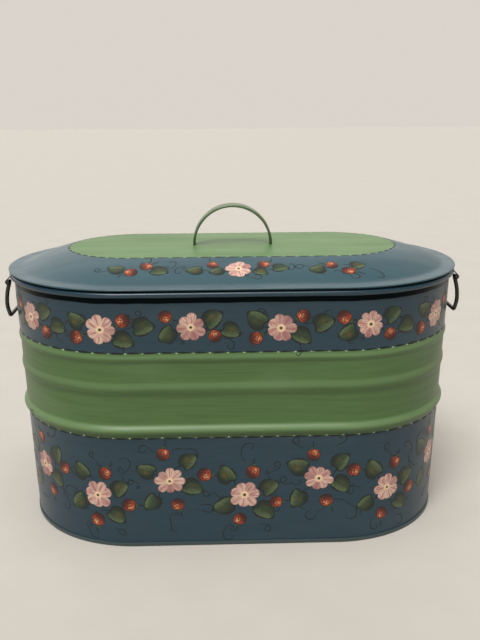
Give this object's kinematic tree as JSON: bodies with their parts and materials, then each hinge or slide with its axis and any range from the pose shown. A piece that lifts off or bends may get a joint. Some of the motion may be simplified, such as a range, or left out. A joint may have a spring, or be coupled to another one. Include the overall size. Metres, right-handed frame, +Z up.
{
  "type": "bread box",
  "caption": "Oval tinware bread box with tapering beaded walls, a wired rim, a lift-off lid with a strap handle, and a wire bail at each end.",
  "frame": {"origin": "middle of the base, on the plane that the bottom pan rests on", "axes": "+Z up, +X along the length towards the right end, -Y towards the front"},
  "size_m": [0.5014, 0.282, 0.3529],
  "materials": {
    "body_paint": "semi-gloss slate blue brush paint with green and painted sprays",
    "lid_paint": "semi-gloss slate blue brush paint with a green top",
    "green_paint": "satin moss green brush paint",
    "bare_tin": "dull tinned steel",
    "black_wire": "glossy black enamel on wire"
  },
  "bodies": {
    "tub": {"front_wall": "body_paint", "back_wall": "body_paint", "bottom_pan": "body_paint", "rim_wire": "bare_tin", "left_ear_front": "body_paint", "left_ear_back": "body_paint", "right_ear_front": "body_paint", "right_ear_back": "body_paint"},
    "lid": {"lid_panel": "lid_paint", "lid_collar": "lid_paint", "lid_handle": "green_paint"},
    "left_bail": {"left_bail": "black_wire"},
    "right_bail": {"right_bail": "black_wire"}
  },
  "joints": [
    {"name": "lid_lift", "type": "slide", "parent": "tub", "child": "lid", "axis": [0, 0, 1], "range_m": [0, 0.18]},
    {"name": "left_bail_swing", "type": "hinge", "parent": "tub", "child": "left_bail", "pos_m": [-0.2438, 0, 0.2775], "axis": [0, 1, 0], "range_deg": [0, 140]},
    {"name": "right_bail_swing", "type": "hinge", "parent": "tub", "child": "right_bail", "pos_m": [0.2438, 0, 0.2775], "axis": [0, -1, 0], "range_deg": [0, 140]}
  ]
}
